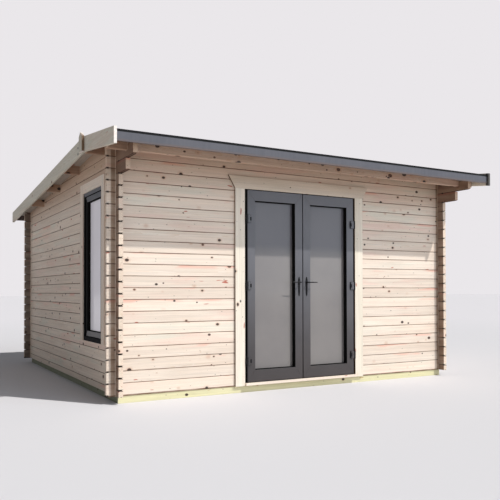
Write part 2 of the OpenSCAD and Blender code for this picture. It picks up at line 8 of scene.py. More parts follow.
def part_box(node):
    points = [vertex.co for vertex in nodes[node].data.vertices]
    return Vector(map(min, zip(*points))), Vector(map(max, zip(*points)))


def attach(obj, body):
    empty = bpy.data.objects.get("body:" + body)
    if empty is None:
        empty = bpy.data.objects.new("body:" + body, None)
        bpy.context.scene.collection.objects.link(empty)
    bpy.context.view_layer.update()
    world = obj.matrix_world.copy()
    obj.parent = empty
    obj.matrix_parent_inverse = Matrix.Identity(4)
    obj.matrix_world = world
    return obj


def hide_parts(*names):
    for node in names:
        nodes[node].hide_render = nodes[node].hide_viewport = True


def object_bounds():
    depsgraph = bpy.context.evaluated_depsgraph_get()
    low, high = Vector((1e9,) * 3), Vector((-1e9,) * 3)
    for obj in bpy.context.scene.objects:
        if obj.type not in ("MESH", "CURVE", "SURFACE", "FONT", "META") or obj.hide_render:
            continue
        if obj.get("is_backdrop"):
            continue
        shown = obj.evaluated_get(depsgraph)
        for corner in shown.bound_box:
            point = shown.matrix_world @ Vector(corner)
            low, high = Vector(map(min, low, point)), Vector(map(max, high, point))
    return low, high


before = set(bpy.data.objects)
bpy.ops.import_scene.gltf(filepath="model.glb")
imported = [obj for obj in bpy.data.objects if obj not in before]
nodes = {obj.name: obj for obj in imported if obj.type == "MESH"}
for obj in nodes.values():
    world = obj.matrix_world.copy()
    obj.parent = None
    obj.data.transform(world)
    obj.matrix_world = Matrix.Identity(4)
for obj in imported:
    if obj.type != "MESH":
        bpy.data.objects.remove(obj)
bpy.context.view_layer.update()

# The camera stands at the height of the door handles in front of the cabin's left corner, almost
# level. The lens shift lifts the view to the roof and keeps the corners of the walls upright.
camera = bpy.data.objects.new("camera", bpy.data.cameras.new("camera"))
camera.data.lens = 46.34
camera.data.sensor_width = 36
camera.data.shift_y = 0.0623
camera.location = (-4.0305, -7.9154, 1.072)
camera.rotation_euler = (math.radians(90.88), math.radians(0.12), math.radians(-29.416))
bpy.context.scene.collection.objects.link(camera)
bpy.context.scene.camera = camera


# ---- Treated base: bearers and joists ----
# Sawn softwood of 70 by 45 mm, pressure treated with a copper salt that leaves it yellow-green.
# The bearers lie flat on the ground under the walls, with the joists nailed in between.


class Wire:
    """A socket in a material's nodes. Arithmetic on it adds Math nodes."""

    def __init__(self, tree, socket=None):
        self.tree, self.socket = tree, socket

    def node(self, kind, settings, inputs, output=0):
        """Any node: its type, its settings, its sockets' values or wires, and the output to use."""
        made = self.tree.nodes.new("ShaderNode" + kind)
        for name, value in settings.items():
            setattr(made, name, value)
        for name, value in inputs.items():
            if isinstance(value, Wire):
                self.tree.links.new(value.socket, made.inputs[name])
            else:
                made.inputs[name].default_value = value
        return Wire(self.tree, made.outputs[output])

    def sibling(self, name):
        """Another output of the same node."""
        return Wire(self.tree, self.socket.node.outputs[name])

    def maths(self, operation, *values):
        """A Math node on this value and any others."""
        return self.node("Math", {"operation": operation}, dict(enumerate((self, *values))))

    def __add__(self, other):
        return self.maths("ADD", other)

    def __sub__(self, other):
        return self.maths("SUBTRACT", other)

    def __rsub__(self, other):
        return (self * -1) + other

    def __mul__(self, other):
        return self.maths("MULTIPLY", other)

    def __truediv__(self, other):
        return self.maths("DIVIDE", other)

    def __rtruediv__(self, other):
        return self.node("Math", {"operation": "DIVIDE"}, {0: other, 1: self})

    __radd__, __rmul__ = __add__, __mul__

    def ease(self, low, high, at_low=0.0, at_high=1.0):
        """A smooth step from at_low to at_high as this value goes from low to high."""
        return self.node("MapRange", {"interpolation_type": "SMOOTHSTEP"}, {"Value": self,
            "From Min": low, "From Max": high, "To Min": at_low, "To Max": at_high})

    def blend(self, first, second, how="MIX"):
        """Two colours mixed by this value."""
        pick = [(*c, 1) if isinstance(c, tuple) else c for c in (first, second)]
        return self.node("Mix", {"data_type": "RGBA", "blend_type": how},
            {0: self, 6: pick[0], 7: pick[1]}, 2)

    def vector(self, x, y, z):
        """A vector from three values."""
        return self.node("CombineXYZ", {}, {"X": x, "Y": y, "Z": z})

    def noise(self, where, scale=1.0, detail=2.0):
        """Soft noise at a place."""
        return self.node("TexNoise", {}, {"Vector": where, "Scale": scale, "Detail": detail})

    def parts(self):
        """The three numbers in a vector or colour."""
        split = self.node("SeparateXYZ", {}, {0: self})
        return [split.sibling(axis) for axis in "XYZ"]


def finish_of(name, metallic=0.0, coat=0.0, coat_rough=0.1, ior=1.5):
    """A new material. Returns it with a wire of Object coordinates and its shader."""
    made = bpy.data.materials.new(name)
    made.use_nodes = True
    shader = made.node_tree.nodes["Principled BSDF"]
    shader.inputs["Metallic"].default_value = metallic
    shader.inputs["Coat Weight"].default_value = coat
    shader.inputs["Coat Roughness"].default_value = coat_rough
    shader.inputs["IOR"].default_value = ior
    place = Wire(made.node_tree).node("TexCoord", {}, {}, "Object")
    return made, place, shader


def feed(place, shader, colour, rough, height, depth, strength):
    """Joins a colour, a roughness and a relief to a material's shader."""
    bump = place.node("Bump", {}, {"Height": height, "Distance": depth, "Strength": strength})
    for socket, wire in (("Base Color", colour), ("Roughness", rough), ("Normal", bump)):
        place.tree.links.new(wire.socket, shader.inputs[socket])


# Tones of planed spruce: sapwood, heartwood, pink and grey streaks, the late wood of each ring, knots
# and their rims, resin, pin knots, and what the sawn ends are multiplied by.
SPRUCE = {"pale": (0.80, 0.70, 0.60), "warm": (0.74, 0.62, 0.515), "pink": (0.79, 0.60, 0.51),
    "grey": (0.70, 0.67, 0.575), "late": (0.84, 0.74, 0.62), "knot": (0.055, 0.026, 0.016),
    "rim": (0.022, 0.012, 0.008), "red": (0.42, 0.085, 0.045), "speck": (0.16, 0.125, 0.09),
    "end": (1.0, 0.98, 0.95)}
# On the treated wood the end tone is painted shade: the faces of the bearers that face along X, and the
# joists' ends, are darker and greyer.
TREATED = {**SPRUCE, "pale": (0.76, 0.72, 0.47), "warm": (0.68, 0.64, 0.39), "pink": (0.66, 0.62, 0.36),
    "late": (0.82, 0.76, 0.58), "red": (0.45, 0.32, 0.14), "end": (0.42, 0.47, 0.52)}

# The three axes, as places in a vector.
X, Y, Z = range(3)


def timber(name, grain, lanes, start, pitch, centre=0.0, reach=0.0, tones=SPRUCE, seed=0.0,
        knots=1.0, shade=1.0, cell=0.10, joint=0.0, side_shade=0.0, tips=None,
        shaded_stretches=(), shade_colour=(1.0, 1.0, 1.0), cap=None, eave_shade=0.0):
    """Wood whose grain runs along one axis. Pieces lie side by side along the axis "lanes", from
    "start" on, "pitch" apart. Their middles lie "reach" either side of "centre" on the third axis.

    knots scales the knots, and cell is how far apart they lie. shade scales the wood's brightness,
    and below 1 it is painted shade. joint paints shade of that width along the edges of each piece,
    in the V-grooves, and sawn paints shade on the sides that face along the lanes. tips is the middle
    and half length of logs whose free ends are notched, and it paints the notches dark as their
    shade. stains are stretches along the grain where soil paints shade. The wood before cap is
    coated grey. eave_shade paints shade on the wood near the roof."""
    made, place, shader = finish_of(name)
    axes = place.parts()
    along, across, depth = axes[grain], axes[lanes], axes[3 - grain - lanes]
    depth = (depth - centre).maths("ABSOLUTE") - reach
    lane = ((across - start) / pitch).maths("FLOOR").maths("MAXIMUM", 0)
    v = across - (start + pitch / 2) - lane * pitch
    luck = place.node("TexWhiteNoise", {"noise_dimensions": "1D"}, {"W": lane + (seed + 0.5)}, "Color")
    r1, r2, r3 = luck.parts()

    # Knots are round spots through the wood, a little longer along the grain, each in its own cell.
    spot = place.vector(along * (0.72 / cell) + r1 * 31, v / cell + lane * 5.7, depth / cell + r2 * 19)
    found = place.node("TexVoronoi", {"voronoi_dimensions": "3D"}, {"Vector": spot, "Scale": 1.0})
    k1, k2, k3 = found.sibling("Color").parts()
    knot_radius = k1 * k1 * 0.0105 + 0.0045
    near = found / (knot_radius * (knots / cell))
    knot = near.ease(0.85, 1.15, 1, 0)
    rim = (near - 0.95).maths("ABSOLUTE").ease(0.05, 0.35, 1, 0)
    swirl = near.ease(0.8, 3.6, 1, 0)

    # Pin knots of a few millimetres, in two cells out of five.
    spot = place.vector(along * 14 + r2 * 17, v * 20 + lane * 3.3, depth * 20 + r1 * 23)
    found = place.node("TexVoronoi", {"voronoi_dimensions": "3D"}, {"Vector": spot, "Scale": 1.0})
    pin = found.ease(0.065, 0.115, 1, 0) * found.sibling("Color").parts()[0].ease(0.60, 0.65)

    # Growth rings round a heart that wanders beside the piece's middle, pushed aside by the knots.
    drift = place.noise(place.vector(along * 0.55, lane * 3.1, seed), 1, 1).sibling("Color").parts()
    up = v - (r1 - 0.5) * (pitch * 1.3) + (drift[0] - 0.5) * 0.10
    out = depth - (r2 - 0.5) * 0.09 + (drift[1] - 0.5) * 0.05
    wobble = place.noise(place.vector(along * 5, v * 14, depth * 14), 1, 2)
    heart = (up * up + out * out).maths("SQRT")
    ring_width = 0.0036
    late = ((heart + swirl * 0.006 + wobble * 0.006) / ring_width).maths("FRACT").maths("POWER", 2.6)
    fibre = place.noise(place.vector(along * 9, v * 520, depth * 520), 1, 2)
    fleck = place.noise(place.vector(along * 26, v * 190 + lane * 3, depth * 190), 1, 3)
    cloud = place.noise(place.vector(along * 1.3 + r3 * 40, v * 10 + lane * 9, depth * 10), 1, 3)

    # The wood's own colour, piece by piece and in long soft patches, then rings, flecks and streaks.
    colour = (cloud.ease(0.34, 0.66) * 0.55 + r3 * 0.45).blend(tones["pale"], tones["warm"])
    flush = cloud.sibling("Color").parts()[1].ease(0.50, 0.66) * r2.ease(0.45, 0.9)
    colour = (flush * 0.75).blend(colour, tones["pink"])
    grey = cloud.sibling("Color").parts()[2].ease(0.52, 0.66) * r1.ease(0.3, 0.8)
    colour = (grey * 0.7).blend(colour, tones["grey"])
    colour = (late * 0.55).blend(colour, tones["late"], "MULTIPLY")
    colour = fleck.ease(0.60, 0.72, 0, 0.22).blend(colour, (0.72, 0.56, 0.40), "MULTIPLY")
    streaky = place.noise(place.vector(along * 1.6 + r2 * 9, v * 75 + lane * 5, depth * 75), 1, 3)
    tint = (r1 - 0.5) * 0.13 + (fibre - 0.5) * 0.16 + (streaky - 0.5) * 0.42 + shade
    colour = colour.node("VectorMath", {"operation": "SCALE"}, {0: colour, "Scale": tint})

    # Brown halos round some knots, red resin and blushes, and the knots themselves.
    halo = near.ease(0.9, 2.6, 0.45, 0) * k2.ease(0.35, 0.6)
    colour = halo.blend(colour, (0.52, 0.27, 0.15))
    resin = place.noise(place.vector(along * 5 + r3 * 50, v * 26 + lane * 7, depth * 26), 1, 1)
    colour = (resin.ease(0.755, 0.785) * 0.9).blend(colour, tones["red"])
    blush = place.noise(place.vector(along * 1.5 + r1 * 70, v * 9, lane * 7.7), 1, 2).ease(0.60, 0.68)
    colour = (blush * v.ease(pitch * 0.12, pitch * 0.42) * 0.6).blend(colour, (0.78, 0.36, 0.27))
    colour = knot.blend(colour, k3.ease(0.5, 0.9).blend(tones["knot"], (0.16, 0.07, 0.04)))
    colour = (rim * 0.85).blend(colour, tones["rim"])
    colour = (pin * 0.75).blend(colour, tones["speck"])

    # Painted shade: dark lines in the V-grooves where pieces meet, dark notches at the free ends,
    # and dark sides that face along the lanes.
    if joint:
        groove_shade = v.maths("ABSOLUTE").ease(pitch / 2 - joint, pitch / 2 - 0.002)
        mottle = place.noise(place.vector(along * 4, lane * 2.7, 0), 1, 2).ease(0.3, 0.6, 0.62, 1)
        colour = (groove_shade * mottle).blend(colour, (0.24, 0.15, 0.10), "MULTIPLY")
    if tips:
        far = (along - tips[0]).maths("ABSOLUTE")
        tip = far.ease(tips[1] - 0.028, tips[1] - 0.016) * far.ease(tips[1] + 0.003, tips[1] + 0.006, 1, 0)
        notch_shade = v.maths("ABSOLUTE").ease(pitch / 2 - 0.0105, pitch / 2 - 0.0065) * tip
        colour = notch_shade.blend(colour, (0.05, 0.03, 0.02), "MULTIPLY")
    if side_shade:
        side = place.sibling("Normal").parts()[lanes].maths("ABSOLUTE").ease(0.4, 0.7)
        colour = (side * side_shade).blend(colour, (0.30, 0.21, 0.15), "MULTIPLY")

    # On the sawn ends the rings show plainly, the wood is darker, and a crack runs to the heart.
    facing = place.sibling("Normal").parts()[grain].maths("ABSOLUTE").ease(0.6, 0.8)
    turn = out.maths("ARCTAN2", up) - (r3 - 0.5) * 5
    crack = (turn.maths("ABSOLUTE") * heart).ease(0.0004, 0.0011, 1, 0)
    colour = facing.blend(colour, tones["end"], "MULTIPLY")
    colour = (facing * (late * 0.3 + crack * 0.6)).blend(colour, (0.42, 0.27, 0.15), "MULTIPLY")

    # Painted shade: deeper brown near the roof and in the shaded stretches. The grey coat on a
    # capped end.
    if eave_shade:
        high = axes[Z].ease(1.98, 2.40) * eave_shade
        colour = high.blend(colour, (0.70, 0.58, 0.49), "MULTIPLY")
    for first, last in shaded_stretches:
        painted_shade = along.ease(first, first + 0.012) * along.ease(last - 0.012, last, 1, 0)
        painted_shade = painted_shade * cloud.ease(0.25, 0.7, 0.75, 1) * (1 - facing)
        colour = painted_shade.blend(colour, shade_colour, "MULTIPLY")
    if cap:
        colour = along.ease(cap, cap + 0.001, 1, 0).blend(colour, (0.085, 0.078, 0.072))
    height = fibre * 0.5 + late * 0.35 + rim * 0.5 - crack * facing * 2
    feed(place, shader, colour, 0.62 + fibre * 0.16 - knot * 0.12, height, 0.0009, 0.55)
    return made


def soften(node, width):
    """The worn edges of a plain timber: its corners are merged and rounded."""
    weld = nodes[node].modifiers.new("weld", "WELD")
    weld.merge_threshold = 0.00001
    round_off = nodes[node].modifiers.new("round", "BEVEL")
    round_off.width = width
    round_off.segments = 2
    round_off.limit_method = "ANGLE"
    round_off.angle_limit = math.radians(40)


def coat(node, made):
    """Gives a node of the frame its finish."""
    nodes[node].data.materials.clear()
    nodes[node].data.materials.append(made)


joist_count, joist_width = 7, 0.045
joist_low, joist_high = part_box("floor_joists")
joist_pitch = (joist_high.x - joist_low.x - joist_width) / (joist_count - 1)
coat("base_bearers", timber("treated_softwood_level", X, Z, 0, 0.2, 0.155, 2.07, tones=TREATED,
    seed=3, knots=1.3))
coat("floor_joists", timber("treated_softwood_joist", Y, X, joist_low.x + joist_width / 2 - joist_pitch / 2,
    joist_pitch, tones=TREATED, seed=5))
soften("base_bearers", 0.002)
soften("floor_joists", 0.002)


# ---- Log walls ----
# Planed spruce logs of 44 by 114 mm with a tongue above and a groove below, notched over each
# other at the corners, where their ends run on 90 mm. The side walls lie half a course lower.
# The lowest log starts at front_start in the front and back walls, and at side_start in the others.
course, log, joint_line = 0.114, 0.044, 0.0055
front_start, side_start = 0.080, 0.023
front_low, front_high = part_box("front_wall_head")
back_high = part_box("back_wall")[1]
side_low, side_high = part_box("right_wall")
wall_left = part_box("left_wall_front")[0].x
mid_y = (front_low.y + back_high.y) / 2
front_reach = (back_high.y - front_low.y - log) / 2
side_ends = ((side_low.y + side_high.y) / 2, (side_high.y - side_low.y) / 2)

# Stretches painted darker as shade: the free ends outside the corners, and a strip inside the
# right corner.
outside_front = (-2.6, front_low.y + 0.001)
outside_left = (-2.6, wall_left - 0.001)
by_left_corner = (wall_left - 0.055, wall_left - 0.001)
by_right_corner = (-wall_left - log - 0.040, -wall_left - log + 0.012)
front_logs = timber("spruce_logs_front", X, Z, front_start, course, mid_y, front_reach, seed=11,
    joint=joint_line, eave_shade=0.8, tips=(0, front_high.x),
    shaded_stretches=(by_left_corner, by_right_corner), shade_colour=(0.46, 0.37, 0.30))
side_logs = timber("spruce_logs_side", Y, Z, side_start, course, 0, -wall_left - log / 2, seed=37,
    joint=joint_line, eave_shade=1, tips=side_ends, shaded_stretches=(outside_front,),
    shade_colour=(0.32, 0.24, 0.195))
back_logs = timber("spruce_logs_back", X, Z, front_start, course, mid_y, front_reach, seed=23,
    joint=joint_line, eave_shade=1, tips=(0, front_high.x), shaded_stretches=(outside_left,),
    shade_colour=(0.22, 0.20, 0.19))
for name in ("front_wall_left", "front_wall_right", "front_wall_head"):
    coat(name, front_logs)
coat("back_wall", back_logs)
for name in ("right_wall", "left_wall_sill", "left_wall_front", "left_wall_rear", "left_wall_head",
        "left_gable_logs", "right_gable_logs"):
    coat(name, side_logs)


# ---- Purlins ----
# Solid planed spruce beams, 60 mm wide, let into the tops of the side walls. They run out under the
# verges as far as the bargeboards, which are screwed to their ends.
purlin_tones = {**SPRUCE, "pale": (0.80, 0.61, 0.48), "warm": (0.75, 0.55, 0.41),
    "pink": (0.79, 0.53, 0.41), "grey": (0.70, 0.59, 0.46)}
# The purlins are painted darker overall, near the roof and at their ends under the left verge, as their
# shade.
purlin_wood = timber("spruce_purlins", X, Y, -2.7, 0.3, 2.44, 0, tones=purlin_tones, seed=53,
    knots=1.45, cell=0.075, shade=0.78, eave_shade=0.4, shaded_stretches=(outside_left,), shade_colour=(0.66, 0.58, 0.52))
for name in ("front_purlin", "ridge_purlin", "rear_purlins"):
    coat(name, purlin_wood)
    soften(name, 0.002)


# ---- Roof boards ----
# Tongued spruce boards of 95 by 19 mm, nailed to the purlins and laid up the slope. Below, the
# chamfers of two boards meet in a V.


def block(low, high, ease=0.0):
    """A block between two corners with its edges rounded, in a mesh of its own."""
    bm = bmesh.new()
    low, high = Vector(low), Vector(high)
    made = bmesh.ops.create_cube(bm, size=1)["verts"]
    bmesh.ops.scale(bm, vec=high - low, verts=made)
    bmesh.ops.translate(bm, vec=(low + high) / 2, verts=made)
    if ease:
        bmesh.ops.bevel(bm, geom=bm.edges[:], offset=ease, offset_type="OFFSET", segments=2,
            profile=0.5, affect="EDGES", material=-1)
    return bm


def join(target, part, paint=0):
    """Adds a finished part to a piece's mesh."""
    bmesh.ops.recalc_face_normals(part, faces=part.faces)
    for face in part.faces:
        face.material_index = paint
    scratch = bpy.data.meshes.new("scratch")
    part.to_mesh(scratch)
    part.free()
    target.from_mesh(scratch)
    bpy.data.meshes.remove(scratch)


def piece(name, bm, body, materials, stands_for=()):
    """Turns a mesh into a piece that rides on a body, in place of the nodes that it stands for."""
    mesh = bpy.data.meshes.new(name)
    bm.to_mesh(mesh)
    bm.free()
    for made in materials:
        mesh.materials.append(made)
    found = bpy.data.objects.new(name, mesh)
    bpy.context.scene.collection.objects.link(found)
    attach(found, body)
    if stands_for:
        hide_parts(*stands_for)


plank_count, plank_thick, plank_gap = 49, 0.019, 0.0008
for node, name in (("roof_boards_front", "roof_planks_front"), ("roof_boards_rear", "roof_planks_rear")):
    low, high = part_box(node)
    rise = (high.z - low.z - plank_thick) * (1 if node.endswith("front") else -1)
    plank = (high.x - low.x) / plank_count
    bm = bmesh.new()
    for i in range(plank_count):
        x = low.x + i * plank
        part = block((x + plank_gap / 2, low.y, 0), (x + plank - plank_gap / 2, high.y, plank_thick))
        below = [e for e in part.edges if all(v.co.z < 0.001 for v in e.verts)
            and abs(e.verts[0].co.x - e.verts[1].co.x) < 0.001]
        bmesh.ops.bevel(part, geom=below, offset=0.004, segments=1, profile=0.5, affect="EDGES",
            material=-1)
        for vert in part.verts:
            share = (vert.co.y - low.y) / (high.y - low.y)
            vert.co.z += low.z + (share * rise if rise > 0 else (share - 1) * rise)
        join(bm, part)
    # The boards are painted darker, as the shade under the roof.
    boards = timber(f"spruce_{name}", Y, X, low.x, plank, 2.4, 0, seed=71 + rise, cell=0.11,
        shade=0.54)
    piece(name, bm, "cabin", [boards], [node])


# ---- Roof covering ----
# One-ply rubber membrane, 1.4 mm thick and matt black, bonded to the boards in strips along the
# roof. Each strip laps 80 mm over the one below it.
membrane, place, shader = finish_of("rubber_membrane")
dust = place.noise(place, 2.2, 4)
grit = place.noise(place, 900, 2)
pool = place.noise(place, 0.9, 3).ease(0.45, 0.62)
colour = (dust.ease(0.3, 0.75) * 0.6 + pool * 0.2).blend((0.020, 0.020, 0.022), (0.042, 0.041, 0.041))
feed(place, shader, colour, 0.72 + dust * 0.2, grit * 0.4 + dust, 0.0006, 0.4)
bm = bmesh.new()
cover_low, cover_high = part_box("roof_covering")
boards_low, boards_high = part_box("roof_boards_front")
glue, lap, sheet = 0.0003, 0.08, 0.0014
ridge = Vector((0, boards_high.y, boards_high.z + glue))
front_eave = Vector((0, boards_low.y, boards_low.z + plank_thick + glue))
rear_low, rear_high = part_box("roof_boards_rear")
rear_eave = Vector((0, rear_high.y, rear_low.z + plank_thick + glue))
for eave, strips in ((front_eave, 1), (rear_eave, 3)):
    for i in range(strips):
        past = lap / (ridge - eave).length if i + 1 < strips else 0
        first = eave.lerp(ridge, i / strips)
        last = eave.lerp(ridge, min(1, (i + 1) / strips + past))
        part = bmesh.new()
        for vert in bmesh.ops.create_grid(part, x_segments=60, y_segments=10, size=0.5)["verts"]:
            across, up = vert.co.x + 0.5, vert.co.y + 0.5
            spot = first.lerp(last, up)
            lift = 0.0018 * (1 - up) * (i > 0) + 0.0016 + 0.0006 * math.sin(across * 37 + up * 5 + i)
            vert.co = (cover_low.x + across * (cover_high.x - cover_low.x), spot.y, spot.z + lift)
        bmesh.ops.solidify(part, geom=part.faces[:], thickness=sheet)
        join(bm, part)
piece("roof_membrane", bm, "cabin", [membrane], ["roof_covering"])


# ---- Fascias and edge trims ----
# The fascias are 100 by 20 mm boards faced in coated anthracite sheet. A black coated angle is
# pinned along the top over the membrane's edge, and its short leg shows from the front.
anthracite, place, shader = finish_of("anthracite_coating", coat=0.08, coat_rough=0.4)
axes = place.parts()
bloom = place.noise(place, 3.5, 3)
peel = place.noise(place, 420, 2)
streaks = place.noise(place.vector(axes[X] * 30, axes[Y] * 30, axes[Z] * 2), 1, 2)
colour = (bloom * 0.6 + streaks * 0.4).ease(0.3, 0.7).blend((0.064, 0.064, 0.079), (0.086, 0.086, 0.102))
fascia_low, fascia_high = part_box("front_fascia")
# Painted reflection of the brown wood under the eaves, in a band along the fascia's lower edge.
brown_reflection = axes[Z].ease(fascia_low.z, fascia_low.z + 0.030, 0.85, 0) * bloom.ease(0.35, 0.6, 0.5, 1)
colour = brown_reflection.blend(colour, (0.115, 0.075, 0.060))
lip = axes[Z].ease(fascia_high.z - 0.020, fascia_high.z - 0.018)
colour = lip.blend(colour, (0.003, 0.003, 0.003))
feed(place, shader, colour, 0.40 + bloom * 0.2, peel, 0.0003, 0.25)
for name in ("front_fascia", "rear_fascia"):
    coat(name, anthracite)
    soften(name, 0.0015)

edge_metal, place, shader = finish_of("black_edge_metal", ior=1.25)
axes = place.parts()
bloom = place.noise(place, 5, 3)
scuffs = place.noise(place.vector(axes[X] * 4, axes[Y] * 260, axes[Z] * 260), 1, 3)
colour = scuffs.ease(0.62, 0.75, 0, 0.4).blend((0.004, 0.004, 0.005), (0.03, 0.03, 0.033))
feed(place, shader, colour, 0.5 + bloom * 0.22, scuffs, 0.0002, 0.2)
coat("roof_edge_trims", edge_metal)


# ---- Bargeboards and apex covers ----
# Planed spruce boards of 150 by 28 mm, screwed to the ends of the purlins along both verges. A
# short pointed batten covers each joint at the ridge.
PALE = {**SPRUCE, "pale": (0.82, 0.75, 0.65), "warm": (0.77, 0.70, 0.58), "pink": (0.78, 0.68, 0.56)}
# On the left bargeboards and the apex covers the faces are painted darker, as shade, and the ends lighter,
# as sunlight.
verge_tones_lit_and_shaded = {**PALE, "pale": (0.64, 0.61, 0.52), "warm": (0.60, 0.56, 0.47),
    "pink": (0.64, 0.55, 0.46), "end": (1.40, 1.41, 1.58)}
verge_span = 4.68
verge_wood = timber("spruce_bargeboards", Y, X, -verge_span, verge_span, 2.5, 0, tones=verge_tones_lit_and_shaded,
    seed=91, knots=1.1, cell=0.17)
capped_wood = timber("spruce_capped_bargeboards", Y, X, -verge_span, verge_span, 2.5, 0, tones=PALE,
    seed=91, knots=1.1, cell=0.17, cap=fascia_high.y)
# The apex covers' sides that face along Y are painted dark, as their shade.
cover_wood = timber("spruce_apex_covers", Z, Y, -1.75, 0.4, 0, 2.33, tones=verge_tones_lit_and_shaded, seed=97,
    cell=0.12, side_shade=1.0)
coat("left_bargeboards", verge_wood)
coat("right_bargeboards", capped_wood)
for name in ("left_bargeboards", "right_bargeboards"):
    soften(name, 0.002)
coat("apex_covers", cover_wood)
soften("apex_covers", 0.002)

zinc, place, shader = finish_of("zinc_screws", metallic=0.9)
mottle = place.noise(place, 700, 2)
colour = mottle.ease(0.4, 0.65).blend((0.50, 0.47, 0.40), (0.30, 0.28, 0.25))
feed(place, shader, colour, 0.35 + mottle * 0.25, mottle, 0.0001, 0.3)


def screw_head(bm, at, out, radius=0.0042):
    """A low screw head with a cross slot, standing out of a face at a point."""
    part = bmesh.new()
    bmesh.ops.create_cone(part, cap_ends=True, segments=12, radius1=radius, radius2=radius * 0.72,
        depth=0.0014)
    top = [f for f in part.faces if f.normal.z > 0.9]
    bmesh.ops.inset_region(part, faces=top, thickness=radius * 0.3, depth=-0.0006)
    turn = Vector((0, 0, 1)).rotation_difference(Vector(out)).to_matrix().to_4x4()
    bmesh.ops.transform(part, matrix=Matrix.Translation(at) @ turn, verts=part.verts)
    join(bm, part)


def under_roof(y):
    """Height of the boards' underside at a distance along Y."""
    under_ridge = ridge.z - plank_thick - glue
    if y < ridge.y:
        share = (y - boards_low.y) / (ridge.y - boards_low.y)
        return boards_low.z + share * (under_ridge - boards_low.z)
    share = (y - ridge.y) / (rear_high.y - ridge.y)
    return under_ridge + share * (rear_low.z - under_ridge)


# Two screws, one over the other, at each purlin, on either side of the ridge, and at the ends.
bm = bmesh.new()
barge_low, barge_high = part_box("right_bargeboards")
ridge_line, beside = -1.555, 0.09
purlin_middles = (-2.265, ridge_line - beside, ridge_line + beside, -0.608, 0.339, 1.286)
screw_drops = (0.028, 0.066)
for y in (*purlin_middles, barge_low.y + 0.05, barge_high.y - 0.06):
    for side in (-1, 1):
        for drop in screw_drops:
            screw_head(bm, (side * barge_high.x, y, under_roof(y) - drop), (side, 0, 0))
piece("bargeboard_screws", bm, "cabin", [zinc])


# ---- Floor ----
# Tongued spruce boards, 19 mm thick and about 95 mm wide, nailed across the joists with a small
# gap along the walls. The boards stop at the door's threshold.
floor_low, floor_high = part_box("floor_boards")
floor_count, floor_gap, frame_gap = 43, 0.0008, 0.005
board = (floor_high.y - floor_low.y) / floor_count
door_frame_low, door_frame_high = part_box("door_frame")
cut_low, cut_high = door_frame_low.x - frame_gap, door_frame_high.x + frame_gap
bm = bmesh.new()
for i in range(floor_count):
    y = floor_low.y + i * board
    runs = [(floor_low.x, floor_high.x, y)]
    if i == 0:
        runs = [(floor_low.x, cut_low, y), (cut_high, floor_high.x, y),
            (cut_low, cut_high, door_frame_high.y + frame_gap)]
    for x0, x1, y0 in runs:
        part = block((x0, y0 + floor_gap / 2, floor_low.z), (x1, y + board - floor_gap / 2, floor_high.z))
        above = [e for e in part.edges if all(v.co.z > floor_high.z - 0.001 for v in e.verts)]
        bmesh.ops.bevel(part, geom=above, offset=0.0012, segments=1, profile=0.5, affect="EDGES",
            material=-1)
        join(bm, part)
piece("floor_planks", bm, "cabin",
    [timber("spruce_floor", X, Y, floor_low.y, board, 0.08, 0, seed=131, cell=0.15)],
    ["floor_boards"])


# ---- Door frame and leaves ----
# Extruded plastic bars under a dark grey foil with a fine wood grain. The bars are cut to a mitre
# and welded, which leaves a narrow groove across each corner. Seals are black. The reveals are
# black as their gaskets and as painted shade, and the door frame is painted black as shade.


def foil(name, grain):
    """Anthracite foil whose embossed grain runs along one axis. Low down it is painted darker and
    warmer, a painted shade that keeps the sunlit part as dark as the shaded top. Along the left
    leaf's hinge edge it is painted black, as the shade in the gap beside the leaf."""
    made, place, shader = finish_of(name, coat=0.25, coat_rough=0.28)
    axes = place.parts()
    scale = [420, 420, 420]
    scale[grain] = 14
    lines = place.noise(place.vector(*(a * s for a, s in zip(axes, scale))), 1, 3)
    cloud = place.noise(place, 2.4, 3)
    dust = (cloud * 0.7 + lines * 0.3).ease(0.35, 0.65)
    colour = dust.blend((0.088, 0.088, 0.100), (0.112, 0.112, 0.125))
    # Painted shade: darker and warmer low down, where the sun falls on the doors.
    low = axes[Z].ease(0.1, 1.75, 1, 0)
    colour = low.blend(colour, (0.36, 0.28, 0.24), "MULTIPLY")
    # Painted shade: black along the left leaf's hinge edge, for the gap beside it.
    hinge_gap_shade = axes[X].ease(-0.700, -0.697, 1, 0) * axes[X].ease(-0.712, -0.710)
    colour = hinge_gap_shade.blend(colour, (0.004, 0.004, 0.004))
    feed(place, shader, colour, 0.36 + lines * 0.22, lines, 0.0004, 0.35)
    return made


foil_upright = foil("foil_upright", Z)
foil_level = foil("foil_level", X)

# Black for the seals. On the reveals of the leaves and the window it also paints their shade.
seal, place, shader = finish_of("black_seal", ior=1.15)
grime = place.noise(place, 60, 3)
colour = grime.blend((0.004, 0.004, 0.004), (0.010, 0.010, 0.010))
feed(place, shader, colour, 0.75 + grime * 0.2, grime, 0.0003, 0.3)

# Black that paints shade: the door frame, seen only in the gap round the leaves, and the window's upright
# bars and bottom bar.
inner_frame, place, shader = finish_of("black_inner_frame", ior=1.2)
grime = place.noise(place, 14, 3)
colour = grime.blend((0.004, 0.004, 0.005), (0.010, 0.010, 0.011))
feed(place, shader, colour, 0.6 + grime * 0.2, grime, 0.0003, 0.2)


